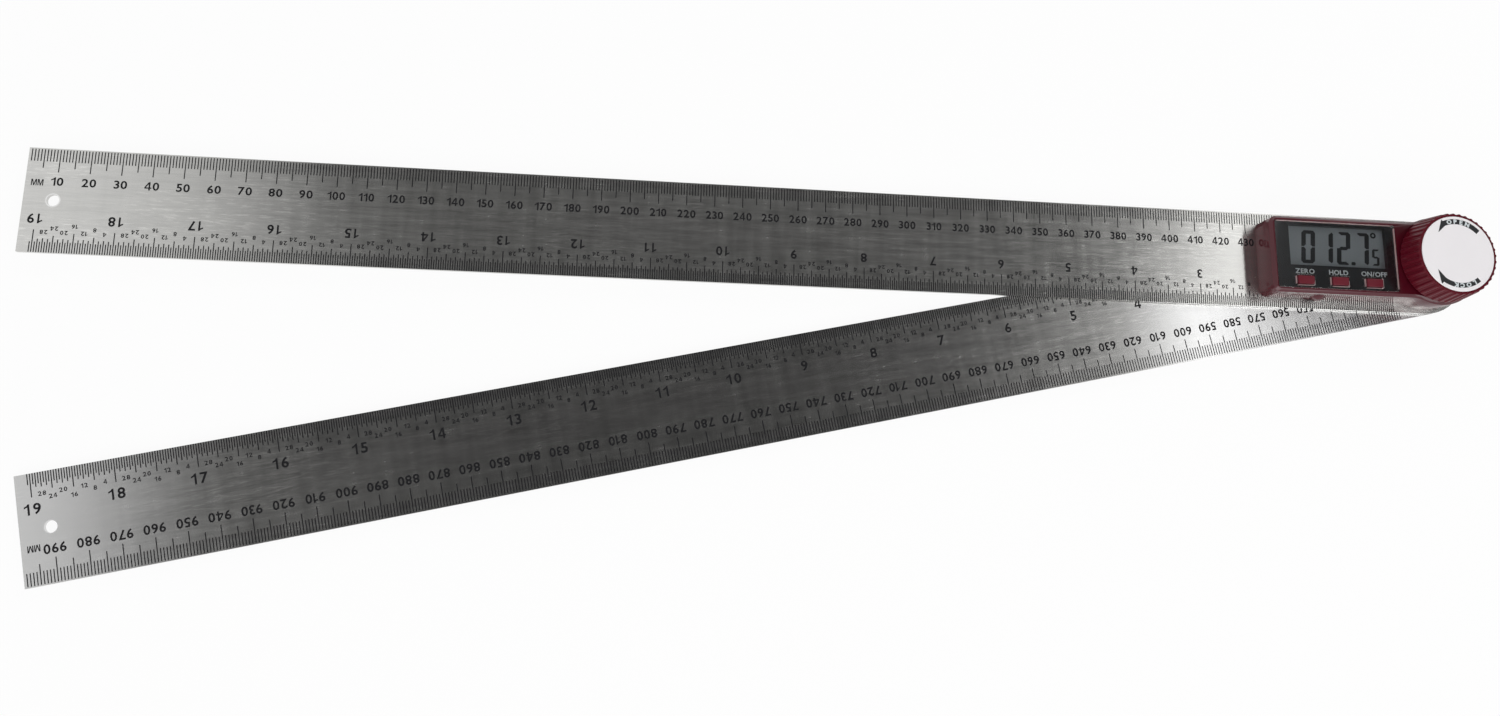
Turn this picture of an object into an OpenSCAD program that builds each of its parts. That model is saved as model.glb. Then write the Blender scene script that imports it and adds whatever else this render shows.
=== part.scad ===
// Digital angle ruler: two steel rules on one pivot, a battery-powered angle
// display on the upper rule, and a lock knob that clamps the two together.
// Origin: on the pivot axis, in the plane that the spindle's flange rests on.
// +Z is up, out of the display, and the upper rule runs from the pivot to -X.

/* [Blades] */
// Distance from the pivot axis to each blade's square tip
arm_length = 500; // [300:1:600]
// Width of both blades, also the diameter of their round hub ends
blade_w = 36; // [34:0.5:48]
// Thickness of both blades
blade_t = 1.2; // [1:0.1:2]
// Diameter of the hanging hole in each blade's tip
hang_hole_d = 4; // [3:0.1:8]
// Distance from a blade's tip to its hanging hole's centre
hang_hole_inset = 9.4; // [6:0.1:20]
// Angle between the two blades as drawn, in degrees
arm_angle = 12.6; // [0:0.1:90]

/* [Pivot spindle] */
// Radius of the flange under the lower blade
flange_r = 15; // [14:0.1:17]
// Thickness of the flange
flange_t = 1.2; // [1:0.1:3]
// Radius of the main journal, on which both blades turn
journal_r = 8; // [7:0.1:8.6]
// Radius of the upper journal, in the housing's roof
neck_r = 5; // [4.6:0.1:5.4]
// Half the distance across the two key flats on the upper journal
key_half = 4.2; // [3.8:0.1:4.5]
// Radius of the threaded stud inside the knob
stud_r = 3; // [2.5:0.1:3.5]
// Length of the threaded stud
stud_l = 5.8; // [4:0.1:6]
// Pitch of the stud's thread
thread_pitch = 1; // [0.5:0.05:1.25]
// Turn of the lock knob from locked to open, in degrees
lock_turn = 270; // [180:1:300]

/* [Pivot washers and fastenings] */
// Thickness of the friction washer, which is the gap between the blades
friction_t = 0.4; // [0.2:0.05:1]
// Outer radius of the friction washer
friction_r = 15; // [12:0.1:17]
// Thickness of the wave washer on the base plate
wave_t = 0.4; // [0.3:0.05:0.6]
// Outer radius of the wave washer
wave_r = 10.5; // [9.8:0.1:11.5]
// Thickness of the retaining ring in the journal's groove
ring_t = 0.8; // [0.5:0.05:1]
// Outer radius of the retaining ring
ring_r = 9.6; // [9:0.1:10.5]
// Depth of the retaining ring's groove
ring_groove = 0.7; // [0.4:0.05:1]
// Opening of the retaining ring, in degrees
ring_gap = 50; // [30:1:80]
// Thickness of the keyed thrust washer under the knob
thrust_t = 0.5; // [0.3:0.05:1]
// Outer radius of the thrust washer
thrust_r = 8.5; // [7:0.1:11]
// Number of rivets that join the flange to the lower blade
rivet_count = 4; // [3:1:6]
// Radius of a rivet's shank
rivet_r = 1; // [0.7:0.05:1.3]
// Radius of the circle that the rivets stand on
rivet_circle_r = 11.6; // [11:0.1:12]

/* [Housing] */
// Distance from the pivot axis to the housing's far end
housing_l = 66; // [60:0.5:72]
// Width of the housing beside the display
housing_w = 28.8; // [26:0.1:32]
// Height of the housing above the upper blade
housing_h = 10; // [9.9:0.1:12]
// Radius of the round hub over the pivot
hub_r = 16.7; // [16.4:0.1:19]
// Radius of the hollow curve from the straight wall to the hub
neck_fillet_r = 16; // [8:0.5:20]
// Radius of the two upright corners at the far end
end_corner_r = 3; // [2.6:0.1:4]
// Bevel along the housing's top edge
bevel = 1; // [0.6:0.05:1]
// Thickness of the housing's side and end walls
wall = 2; // [1.8:0.1:2.1]
// Radius of the hollow in the hub
hub_bore_r = 13.6; // [13.3:0.1:14]
// Thickness of the hub's roof, which is the upper bearing
hub_roof_t = 2.6; // [2:0.1:3.4]

/* [Display] */
// Distance from the housing's far end to the display panel
panel_inset = 1.7; // [1.6:0.1:2]
// Distance from the pivot axis to the display panel
panel_near = 16.9; // [16.5:0.1:20]
// Distance from the housing's sides to the display panel
panel_rim = 1.75; // [1.5:0.05:1.8]
// Thickness of the display panel
panel_t = 1.5; // [1:0.1:1.6]
// Radius of the panel's corners
panel_corner_r = 0.8; // [0.3:0.1:1.5]
// Depth of the panel's face below the housing's rim
panel_sink = 0.1; // [0:0.05:0.3]
// Distance from the panel's far edge to the window
window_far = 5.8; // [5.6:0.1:10]
// Distance from the panel's near edge to the window
window_near = 3.2; // [3.2:0.1:10]
// Distance from the panel's upper side to the window
window_top = 1.25; // [1.2:0.05:3]
// Distance from the panel's lower side to the window, with the keys between
window_bottom = 8.75; // [7.5:0.05:10]
// Thickness of the liquid-crystal cell
lcd_t = 1.2; // [1:0.05:1.6]
// Lap of the display cell and its frame past the window, all round
lcd_lap = 0.4; // [0.3:0.05:0.45]
// Thickness of the display frame's side walls
lcd_frame_wall = 0.5; // [0.4:0.05:0.6]
// Height of the conductive rubber strips under the display cell
strip_h = 0.6; // [0.4:0.05:0.8]
// Width of a conductive rubber strip
strip_w = 1.4; // [1:0.1:2]

/* [Keys] */
// Length of a key cap
key_l = 6.2; // [5:0.1:7]
// Width of a key cap
key_w = 3; // [2.4:0.1:3.4]
// Height of a key cap above the panel's face
key_proud = 0.3; // [0.1:0.05:0.5]
// Gap round a key cap in its cut-out
key_gap = 0.4; // [0.2:0.05:0.5]
// Distance from key to key
key_pitch = 13.5; // [11:0.1:13.6]
// Distance of the middle key from the panel's middle, towards the pivot
key_shift = 0.6; // [-1:0.1:1]
// Distance of the keys from the panel's lower side
key_edge = 2.95; // [2.7:0.05:3.2]
// Travel of a key
key_travel = 0.4; // [0.2:0.05:0.5]
// Thickness of the retaining lip under a key cap
key_lip_t = 0.6; // [0.4:0.05:0.8]
// Side of a square switch body
switch_w = 4.4; // [4:0.1:4.6]
// Height of a switch body
switch_h = 1.2; // [1:0.05:1.3]
// Radius of a switch's plunger
plunger_r = 1; // [0.8:0.05:1.3]

/* [Inside] */
// Thickness of the insulating base plate on the upper blade
base_t = 0.6; // [0.4:0.05:0.8]
// Thickness of the circuit board and of the rotor disc
board_t = 0.6; // [0.5:0.05:0.8]
// Radius of the encoder's rotor disc
rotor_r = 12.5; // [11:0.1:12.8]
// Gap between the rotor disc and the board above it
rotor_gap = 0.4; // [0.2:0.05:0.5]
// Radius of a screw boss
boss_r = 2.2; // [2:0.05:2.3]
// Radius of a housing screw's shank
screw_r = 1; // [0.8:0.05:1.1]
// Length of a housing screw
screw_l = 4; // [3:0.1:4.3]
// Radius of a countersunk screw head
screw_head_r = 1.8; // [1.5:0.05:2]
// Radius of a board screw's shank
board_screw_r = 0.7; // [0.5:0.05:0.9]
// Length of a board screw's shank
board_screw_l = 1.9; // [1.2:0.1:2]
// Radius of a board screw's head
board_head_r = 1.3; // [1.1:0.05:1.3]
// Height of a board screw's head
board_head_h = 0.7; // [0.4:0.05:0.9]

/* [Battery] */
// Diameter of the coin cell
cell_d = 20; // [16:0.1:20]
// Thickness of the coin cell
cell_t = 3.2; // [1.6:0.1:3.2]
// Distance of the battery drawer's middle from the housing's far end
drawer_end = 20.8; // [20:0.1:24]
// Width of the battery drawer
drawer_w = 23.6; // [23.2:0.1:24]
// Thickness of the ledge that carries the cell
ledge_t = 0.4; // [0.3:0.05:0.4]
// Width of the ledge that carries the cell
ledge_w = 1; // [0.6:0.1:2]
// Height of the drawer's front
drawer_front_h = 6; // [4.8:0.1:6.5]
// Diameter of the thumb catch on the drawer's front
catch_d = 5.6; // [4:0.1:6]
// Height of the thumb catch above the upper blade
catch_z = 3.2; // [3:0.1:3.4]
// Reach of the thumb catch past the housing's side
catch_out = 1.3; // [0.6:0.1:2]

/* [Lock knob] */
// Radius of the knob at its foot
knob_foot_r = 16.4; // [15.8:0.1:18]
// Radius of the knob at its top
knob_top_r = 15.3; // [15:0.1:16]
// Height of the knob
knob_h = 8.8; // [8.6:0.1:12]
// Bevel along the knob's top edge
knob_bevel = 0.5; // [0.2:0.05:0.8]
// Thickness of the knob's skirt
skirt_t = 2; // [1.6:0.1:3]
// Number of grooves round the knob
groove_count = 40; // [24:1:48]
// Radius of a groove's round bottom
groove_r = 0.8; // [0.5:0.05:1]
// Depth of a groove
groove_depth = 0.45; // [0.2:0.05:0.6]
// Radius of the round label on top of the knob
label_r = 14.1; // [10:0.1:14.2]
// Thickness of the label
label_t = 0.3; // [0.1:0.05:0.5]
// Thickness of the wall of the brass insert in the knob
insert_wall = 2.4; // [1.6:0.1:2.6]

/* [Fits] */
// Radial clearance of a running fit
run_fit = 0.05; // [0.02:0.01:0.1]
// Clearance round a fixed piece in its seat
seat_fit = 0.05; // [0.02:0.01:0.1]
// Clearance round a piece that slides by hand
slide_fit = 0.15; // [0.1:0.01:0.2]
// Clearance between pieces that must not touch
air_gap = 0.2; // [0.1:0.01:0.3]

/* [Hidden] */
$fn = 96;
eps = 0.5;                                            // overshoot of a cutting tool

steel = [0.72, 0.72, 0.73];
burgundy = [0.38, 0.08, 0.15];
charcoal = [0.15, 0.18, 0.2];
board_green = [0.1, 0.3, 0.18];

// Levels of the pivot stack, from the flange's foot up
lower_z = flange_t;
friction_z = lower_z + blade_t;
upper_z = friction_z + friction_t;
deck_z = upper_z + blade_t;                           // top face of the upper blade
base_top_z = deck_z + base_t;
ring_z = base_top_z + wave_t;
hub_top_z = deck_z + housing_h;
lock_rise = thread_pitch * lock_turn / 360;
knob_z = hub_top_z + thrust_t;
neck_top_z = knob_z + lock_rise + air_gap;            // the key flats reach the washer at its highest
insert_z = neck_top_z + air_gap;
insert_top_z = neck_top_z + stud_l + air_gap;
insert_r = stud_r + insert_wall;
knob_top_z = knob_z + knob_h;

// Levels inside the housing, from the base plate up
drawer_z = base_top_z + air_gap / 2;
cell_z = drawer_z + ledge_t;
board_z = cell_z + cell_t + air_gap / 2;
board_top_z = board_z + board_t;
rotor_z = board_z - rotor_gap - board_t;
lcd_z = board_top_z + strip_h;
lcd_top_z = lcd_z + lcd_t;
panel_top_z = hub_top_z - panel_sink;
panel_z = panel_top_z - panel_t;
lip_z = panel_z - air_gap - key_lip_t;                // foot of a key cap
switch_top_z = board_top_z + switch_h;

// Plan of the display and the inside
panel_far = housing_l - panel_inset;
panel_side = housing_w / 2 - panel_rim;
window_a = [window_far - panel_far, window_bottom - panel_side];
window_b = [-panel_near - window_near, panel_side - window_top];
inner_y = housing_w / 2 - wall;
inner_end = housing_l - wall;
drawer_x = housing_l - drawer_end;
opening_lap = 0.4;                                    // ledge under the panel's near end
opening_near = panel_near + opening_lap;
boss_y = inner_y + air_gap - boss_r;
boss_far = inner_end + air_gap - boss_r;
boss_near = panel_near + 0.6;
boss_spots = [for (x = [boss_far, boss_near], side = [-1, 1]) [-x, side * boss_y]];
key_lip = 0.5;                                        // lip of a key cap past its cut-out
key_spots = [for (i = [-1, 0, 1]) [key_shift - (panel_near + panel_far) / 2 + i * key_pitch, key_edge - panel_side]];

// ---------------------------------------------------------------- helpers

// A rectangle with round corners, from corner a to corner b
module round_rect(a, b, r) {
  translate([a[0] + r, a[1]]) square([b[0] - a[0] - 2 * r, b[1] - a[1]]);
  translate([a[0], a[1] + r]) square([b[0] - a[0], b[1] - a[1] - 2 * r]);
  for (x = [a[0] + r, b[0] - r], y = [a[1] + r, b[1] - r]) translate([x, y]) circle(r);
}

// A box from corner a to corner b
module box(a, b) {
  translate(a) cube(b - a);
}

// A ring from z up
module ring(outer, inner, z, h) {
  translate([0, 0, z]) difference() {
    cylinder(r = outer, h = h);
    translate([0, 0, -eps]) cylinder(r = inner, h = h + 2 * eps);
  }
}

// A sector of a round post with a beveled top edge
module beveled_post(r, h, b, turn) {
  rotate_extrude(angle = turn) polygon([[0, 0], [r, 0], [r, h - b], [r - b, h], [0, h]]);
}

// A bar along X with its two upper edges beveled
module beveled_bar(length, width, h, b) {
  rotate([90, 0, 90]) linear_extrude(length)
    polygon([[-width / 2, 0], [width / 2, 0], [width / 2, h - b], [width / 2 - b, h],
             [b - width / 2, h], [-width / 2, h - b]]);
}

// The space outside a round key section, for cutting its two flats
module key_flats(half, z, h) {
  for (side = [0, 180]) rotate([0, 0, side]) box([-neck_r - eps, half, z], [neck_r + eps, neck_r + eps, z + h]);
}

// The keyed hole that fits over the spindle's flats
module keyed_hole(z, h) {
  difference() {
    translate([0, 0, z]) cylinder(r = neck_r + run_fit, h = h);
    key_flats(key_half + run_fit, z - eps, h + 2 * eps);
  }
}

// What is fixed to the lower blade is drawn in that blade's own frame
module on_lower_arm() {
  rotate([0, 0, arm_angle]) children();
}

module at_rivets() {
  for (i = [0 : rivet_count - 1]) rotate([0, 0, (i + 0.5) * 360 / rivet_count])
    translate([rivet_circle_r, 0, 0]) children();
}

// ---------------------------------------------------------------- blades

module blade_plan() {
  difference() {
    union() {
      translate([-arm_length, -blade_w / 2]) square([arm_length, blade_w]);
      circle(blade_w / 2);
    }
    circle(journal_r + run_fit);
    translate([hang_hole_inset - arm_length, 0]) circle(hang_hole_d / 2);
  }
}

module upper_blade() color(steel) difference() {
  translate([0, 0, upper_z]) linear_extrude(blade_t) blade_plan();
  for (p = boss_spots) translate([p[0], p[1], upper_z]) {
    translate([0, 0, -eps]) cylinder(r = screw_r + seat_fit, h = blade_t + 2 * eps);
    countersink(screw_r + seat_fit, screw_head_r + seat_fit);
  }
}

module lower_blade() color(steel) on_lower_arm() difference() {
  translate([0, 0, lower_z]) linear_extrude(blade_t) blade_plan();
  at_rivets() translate([0, 0, lower_z - eps]) cylinder(r = rivet_r, h = blade_t + 2 * eps);
}

// ---------------------------------------------------------------- pivot

// Flange, main journal with its ring groove, upper journal and stud, turned in one piece
module pivot_spindle() color(steel) on_lower_arm() difference() {
  rotate_extrude() polygon([
    [0, 0], [flange_r, 0], [flange_r, flange_t], [journal_r, flange_t],
    [journal_r, ring_z], [journal_r - ring_groove, ring_z],
    [journal_r - ring_groove, ring_z + ring_t], [journal_r, ring_z + ring_t],
    [journal_r, rotor_z], [neck_r, rotor_z], [neck_r, neck_top_z],
    [stud_r, neck_top_z], [stud_r, neck_top_z + stud_l], [0, neck_top_z + stud_l]]);
  key_flats(key_half, rotor_z, board_t + air_gap);
  key_flats(key_half, hub_top_z - air_gap, neck_top_z - hub_top_z + air_gap);
  at_rivets() translate([0, 0, -eps]) cylinder(r = rivet_r, h = flange_t + 2 * eps);
  at_rivets() countersink(rivet_r, rivet_head_r());
}

function rivet_head_r() = rivet_r + 0.7;

// A cone-shaped seat or head at the foot of a hole
module countersink(r, head_r) {
  cylinder(r1 = head_r, r2 = r, h = head_r - r);
}

module flange_rivets() color("silver") on_lower_arm() at_rivets() {
  cylinder(r = rivet_r, h = flange_t + blade_t);
  countersink(rivet_r, rivet_head_r());
}

module friction_washer() color("white") on_lower_arm()
  ring(friction_r, journal_r + run_fit, friction_z, friction_t);

module wave_washer() color("silver") on_lower_arm()
  ring(wave_r, journal_r + run_fit, base_top_z, wave_t);

module retaining_ring() color("dimgray") on_lower_arm() difference() {
  ring(ring_r, journal_r - ring_groove + seat_fit, ring_z, ring_t);
  translate([0, 0, ring_z - eps]) linear_extrude(ring_t + 2 * eps)
    polygon([[0, 0], for (side = [-1, 1]) 2 * ring_r * [cos(side * ring_gap / 2), sin(side * ring_gap / 2)]]);
}

module rotor_disc() color(board_green) on_lower_arm() difference() {
  translate([0, 0, rotor_z]) cylinder(r = rotor_r, h = board_t);
  keyed_hole(rotor_z - eps, board_t + 2 * eps);
}

module thrust_washer() color("silver") on_lower_arm() difference() {
  translate([0, 0, hub_top_z]) cylinder(r = thrust_r, h = thrust_t);
  keyed_hole(hub_top_z - eps, thrust_t + 2 * eps);
}

// ---------------------------------------------------------------- housing

// Centre of the neck's hollow curve, which runs off the straight wall and a little way into the round hub
neck_bite = 0.05;
neck_y = housing_w / 2 + neck_fillet_r;
neck_x = -sqrt(pow(hub_r + neck_fillet_r - neck_bite, 2) - pow(neck_y, 2));

// One side of the neck: the wedge from the long axis out to the hollow curve
module neck_side() {
  difference() {
    linear_extrude(housing_h) polygon([[neck_x, 0], [neck_x, neck_y], [0, 0]]);
    translate([neck_x, neck_y, 0]) rotate_extrude()
      polygon([[0, -eps], [neck_fillet_r, -eps], [neck_fillet_r, housing_h - bevel],
               [neck_fillet_r + bevel + eps, housing_h + eps], [0, housing_h + eps]]);
  }
}

// One upright corner of the far end, a quarter of a round post
module end_corner() {
  translate([end_corner_r - housing_l, housing_w / 2 - end_corner_r, 0])
    rotate([0, 0, 90]) beveled_post(end_corner_r, housing_h, bevel, 90);
}

// The body before it is hollowed: far end, straight bar, neck and hub meet face to face
module housing_body() {
  straight_y = housing_w / 2 - end_corner_r;
  translate([0, straight_y, 0]) rotate([90, 0, 0]) linear_extrude(2 * straight_y)
    polygon([[-housing_l, 0], [end_corner_r - housing_l, 0], [end_corner_r - housing_l, housing_h],
             [bevel - housing_l, housing_h], [-housing_l, housing_h - bevel]]);
  translate([end_corner_r - housing_l, 0, 0])
    beveled_bar(housing_l - end_corner_r + neck_x, housing_w, housing_h, bevel);
  beveled_post(hub_r, housing_h, bevel, 360);
  for (side = [0, 1]) mirror([0, side, 0]) {
    end_corner();
    neck_side();
  }
}

// Bosses for the screws: the board rests on them, and the housing screws enter from below
module screw_bosses() {
  for (p = boss_spots) difference() {
    translate([p[0], p[1], deck_z]) cylinder(r = boss_r, h = board_z - deck_z);
    translate([p[0], p[1], deck_z - eps]) cylinder(r = screw_r + seat_fit, h = eps + screw_l - blade_t + air_gap);
    translate([p[0], p[1], board_z - board_screw_l + board_t - air_gap])
      cylinder(r = board_screw_r + seat_fit, h = board_screw_l + eps);
  }
}

module drawer_slot() {
  half = drawer_w / 2 + slide_fit;
  box([-drawer_x - half, -housing_w / 2 - eps, deck_z - eps],
      [-drawer_x + half, -inner_y + eps, deck_z + drawer_front_h + 2 * slide_fit]);
}

module housing_shell() color(burgundy) union() {
  difference() {
    translate([0, 0, deck_z]) housing_body();
    box([-inner_end, -inner_y, deck_z - eps], [0, inner_y, board_top_z + board_head_h + air_gap]);
    translate([0, 0, deck_z - eps]) cylinder(r = hub_bore_r, h = hub_top_z - hub_roof_t - deck_z + eps);
    box([-inner_end, -inner_y, deck_z], [-opening_near, inner_y, panel_z + eps]);
    translate([0, 0, panel_z]) linear_extrude(panel_t + panel_sink + eps)
      round_rect([-panel_far - seat_fit, -panel_side - seat_fit],
                 [-panel_near + seat_fit, panel_side + seat_fit], panel_corner_r);
    translate([0, 0, deck_z]) cylinder(r = neck_r + run_fit, h = housing_h + eps);
    drawer_slot();
  }
  screw_bosses();
}

module base_plate() color("dimgray") difference() {
  translate([0, 0, deck_z]) linear_extrude(base_t) difference() {
    union() {
      translate([-inner_end + air_gap, air_gap - inner_y])
        square([inner_end - air_gap, 2 * (inner_y - air_gap)]);
      circle(hub_bore_r - air_gap);
    }
    circle(journal_r + air_gap);
    for (p = boss_spots) translate(p) circle(boss_r + air_gap);
    for (p = boss_spots) translate([p[0], p[1] > 0 ? p[1] : -inner_y - eps]) translate([-boss_r - air_gap, 0])
      square([2 * (boss_r + air_gap), inner_y + eps - boss_y]);
    for (side = [-1, 1]) translate([-inner_end - eps, side * boss_y - (boss_r + air_gap)])
      square([inner_end + eps - boss_far, 2 * (boss_r + air_gap)]);
  }
}

module circuit_board() color(board_green) translate([0, 0, board_z]) linear_extrude(board_t) difference() {
  union() {
    translate([-inner_end + air_gap, air_gap - inner_y]) square([inner_end - air_gap, 2 * (inner_y - air_gap)]);
    circle(hub_bore_r - air_gap);
  }
  circle(neck_r + 4 * air_gap);
  for (p = boss_spots) translate(p) circle(board_screw_r + seat_fit);
}

module housing_screws() color("silver") for (p = boss_spots) translate([p[0], p[1], upper_z]) {
  cylinder(r = screw_r, h = screw_l);
  countersink(screw_r, screw_head_r);
}

module board_screws() color("silver") for (p = boss_spots) translate([p[0], p[1], board_top_z]) {
  translate([0, 0, -board_screw_l]) cylinder(r = board_screw_r, h = board_screw_l);
  cylinder(r = board_head_r, h = board_head_h);
}

// ---------------------------------------------------------------- display

lap = [lcd_lap, lcd_lap];
frame_wall = [lcd_frame_wall, lcd_frame_wall];
seat = [seat_fit, seat_fit];

module window_panel() color(charcoal) translate([0, 0, panel_z]) linear_extrude(panel_t) difference() {
  round_rect([-panel_far, -panel_side], [-panel_near, panel_side], panel_corner_r);
  for (p = key_spots) round_rect(p - [key_l / 2 + key_gap, key_w / 2 + key_gap],
                                 p + [key_l / 2 + key_gap, key_w / 2 + key_gap], key_corner_r + key_gap);
}

module lcd_glass() color("darkgray") translate([0, 0, lcd_z]) linear_extrude(lcd_t)
  translate(window_a - lap) square(window_b - window_a + 2 * lap);

module lcd_frame() color([0.06, 0.07, 0.08]) difference() {
  frame_a = window_a - lap - seat - frame_wall;
  frame_b = window_b + lap + seat + frame_wall;
  box([frame_a[0], frame_a[1], board_top_z], [frame_b[0], frame_b[1], panel_z - air_gap / 2]);
  well_a = window_a - lap - seat;
  well_b = window_b + lap + seat;
  box([well_a[0], well_a[1], board_top_z - eps], [well_b[0], well_b[1], lcd_top_z]);
  box([window_a[0], window_a[1], board_top_z], [window_b[0], window_b[1], panel_z + eps]);
}

module contact_strips() color("pink") for (y = [window_a[1] - lcd_lap, window_b[1] + lcd_lap - strip_w])
  box([window_a[0], y, board_top_z], [window_b[0], y + strip_w, lcd_z]);

// ---------------------------------------------------------------- keys

key_corner_r = 0.4;
plunger_z = board_top_z + air_gap / 2 + key_travel;   // foot of a plunger that is not pressed

module key_cap(p) color(burgundy) {
  translate([p[0], p[1], lip_z]) linear_extrude(key_lip_t)
    round_rect([-key_l / 2 - key_gap - key_lip, -key_w / 2 - key_gap - key_lip],
               [key_l / 2 + key_gap + key_lip, key_w / 2 + key_gap + key_lip], key_corner_r + key_gap);
  translate([p[0], p[1], lip_z]) linear_extrude(panel_top_z + key_proud - lip_z)
    round_rect([-key_l / 2, -key_w / 2], [key_l / 2, key_w / 2], key_corner_r);
}

module plunger(p) color("ivory") translate([p[0], p[1], plunger_z])
  cylinder(r = plunger_r, h = lip_z - plunger_z);

module switch_bodies() color([0.1, 0.1, 0.1]) for (p = key_spots) translate([p[0], p[1], board_top_z]) difference() {
  translate([-switch_w / 2, -switch_w / 2, 0]) cube([switch_w, switch_w, switch_h]);
  translate([0, 0, air_gap / 2]) cylinder(r = plunger_r + run_fit, h = switch_h);
}

module zero_key() key_cap(key_spots[0]);
module hold_key() key_cap(key_spots[1]);
module power_key() key_cap(key_spots[2]);
module zero_plunger() plunger(key_spots[0]);
module hold_plunger() plunger(key_spots[1]);
module power_plunger() plunger(key_spots[2]);

// ---------------------------------------------------------------- battery

cell_r = cell_d / 2;
contact_t = 0.2;
contact_w = 5;
drawer_back = inner_y - contact_t - 3 * air_gap;

module battery_drawer() color(burgundy) difference() {
  union() {
    box([-drawer_x - drawer_w / 2, -inner_y + air_gap, drawer_z],
        [-drawer_x + drawer_w / 2, drawer_back, cell_z + cell_t]);
    box([-drawer_x - drawer_w / 2, -housing_w / 2, deck_z + slide_fit],
        [-drawer_x + drawer_w / 2, -inner_y + air_gap, deck_z + drawer_front_h + slide_fit]);
    thumb_catch();
  }
  translate([-drawer_x, 0, cell_z]) cylinder(r = cell_r + air_gap / 2, h = cell_t + eps);
  translate([-drawer_x, 0, drawer_z - eps]) cylinder(r = cell_r - ledge_w, h = ledge_t + 2 * eps);
  box([-drawer_x - contact_w / 2 - air_gap, 0, cell_z], [-drawer_x + contact_w / 2 + air_gap, inner_y, board_z]);
}

// A shallow dome, a cap of a sphere, on the drawer's front
module thumb_catch() {
  dome_r = (pow(catch_d / 2, 2) + pow(catch_out, 2)) / (2 * catch_out);
  intersection() {
    translate([-drawer_x, dome_r - catch_out - housing_w / 2, deck_z + catch_z]) sphere(dome_r);
    box([-drawer_x - catch_d, -housing_w / 2 - catch_out - eps, deck_z],
        [-drawer_x + catch_d, -housing_w / 2, deck_z + 2 * catch_z]);
  }
}

module coin_cell() color("silver") translate([-drawer_x, 0, cell_z]) cylinder(r = cell_r, h = cell_t);

// A flat strip under the cell and a leaf behind it that touches its rim
module battery_contacts() color("gold") {
  box([-drawer_x - contact_w / 2, -cell_r / 2, base_top_z],
      [-drawer_x + contact_w / 2, cell_r / 2, base_top_z + air_gap / 4]);
  box([-drawer_x - contact_w / 2, inner_y - contact_t - air_gap, base_top_z],
      [-drawer_x + contact_w / 2, inner_y - air_gap, board_z]);
}

// ---------------------------------------------------------------- lock knob

knob_roof_drop = 0.4;                                 // the skirt's hollow ends this far below the insert's top

module lock_knob() color(burgundy) difference() {
  taper = atan((knob_foot_r - knob_top_r) / knob_h);
  hub_boss_r = insert_r + 2;
  skirt_r = knob_top_r - skirt_t;
  translate([0, 0, knob_z]) rotate_extrude() polygon([
    [0, 0], [knob_foot_r - knob_bevel / 2, 0], [knob_foot_r, knob_bevel / 2],
    [knob_top_r, knob_h - knob_bevel], [knob_top_r - knob_bevel, knob_h], [0, knob_h]]);
  for (i = [0 : groove_count - 1]) rotate([0, 0, i * 360 / groove_count])
    translate([knob_foot_r - groove_depth + groove_r, 0, knob_z]) rotate([0, -taper, 0])
      translate([0, 0, -1]) cylinder(r = groove_r, h = knob_h + 2);
  ring(skirt_r, hub_boss_r, knob_z - eps, insert_top_z - knob_z - knob_roof_drop + eps);
  translate([0, 0, knob_z - eps]) cylinder(r = neck_r + 2 * air_gap, h = insert_z - knob_z + eps);
  translate([0, 0, insert_z - eps]) cylinder(r = insert_r, h = insert_top_z - insert_z + eps);
  translate([0, 0, knob_top_z - label_t / 2]) cylinder(r = label_r + seat_fit, h = label_t + eps);
}

module knob_insert() color("goldenrod") ring(insert_r, stud_r + run_fit, insert_z, insert_top_z - insert_z);

module knob_label() color("whitesmoke") translate([0, 0, knob_top_z - label_t / 2]) cylinder(r = label_r, h = label_t);

// ---------------------------------------------------------------- nodes

upper_blade();
housing_shell();
base_plate();
window_panel();
lcd_frame();
lcd_glass();
contact_strips();
circuit_board();
switch_bodies();
battery_contacts();
housing_screws();
board_screws();
zero_key();
hold_key();
power_key();
zero_plunger();
hold_plunger();
power_plunger();
battery_drawer();
coin_cell();
lower_blade();
pivot_spindle();
flange_rivets();
friction_washer();
wave_washer();
retaining_ring();
rotor_disc();
thrust_washer();
lock_knob();
knob_insert();
knob_label();
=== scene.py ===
# Digital angle ruler: two steel rules on one pivot, a display housing on the
# upper rule and a lock knob over the pivot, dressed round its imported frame.
import math

import bmesh
import bpy
from mathutils import Matrix, Vector


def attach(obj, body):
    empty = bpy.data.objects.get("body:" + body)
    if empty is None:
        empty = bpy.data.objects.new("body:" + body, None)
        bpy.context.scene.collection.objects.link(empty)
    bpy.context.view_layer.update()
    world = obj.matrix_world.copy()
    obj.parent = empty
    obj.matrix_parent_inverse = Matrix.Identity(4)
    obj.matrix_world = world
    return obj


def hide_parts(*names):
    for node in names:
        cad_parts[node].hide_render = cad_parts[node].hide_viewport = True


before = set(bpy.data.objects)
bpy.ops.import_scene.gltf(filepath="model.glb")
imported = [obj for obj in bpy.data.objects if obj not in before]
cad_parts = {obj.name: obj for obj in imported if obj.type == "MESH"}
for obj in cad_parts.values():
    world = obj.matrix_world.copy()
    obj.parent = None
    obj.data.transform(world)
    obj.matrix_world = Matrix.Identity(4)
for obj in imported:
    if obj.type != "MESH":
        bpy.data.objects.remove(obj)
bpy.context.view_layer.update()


# ---- Camera ----------------------------------------------------------------
# It stands over the open end of the two rules and looks down along them. Its
# place and its lens were solved from the rules' own graduations.
CAMERA_PLACE = (-0.29793, -0.11318, 0.37733)
CAMERA_RIGHT = (0.99340641, 0.01667863, 0.11342632)
CAMERA_UP = (-0.03667609, 0.98360226, 0.17658274)
CAMERA_BACK = (-0.10862123, -0.17957845, 0.97772849)
SENSOR_WIDTH, LENS = 36.0, 26.30

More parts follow.
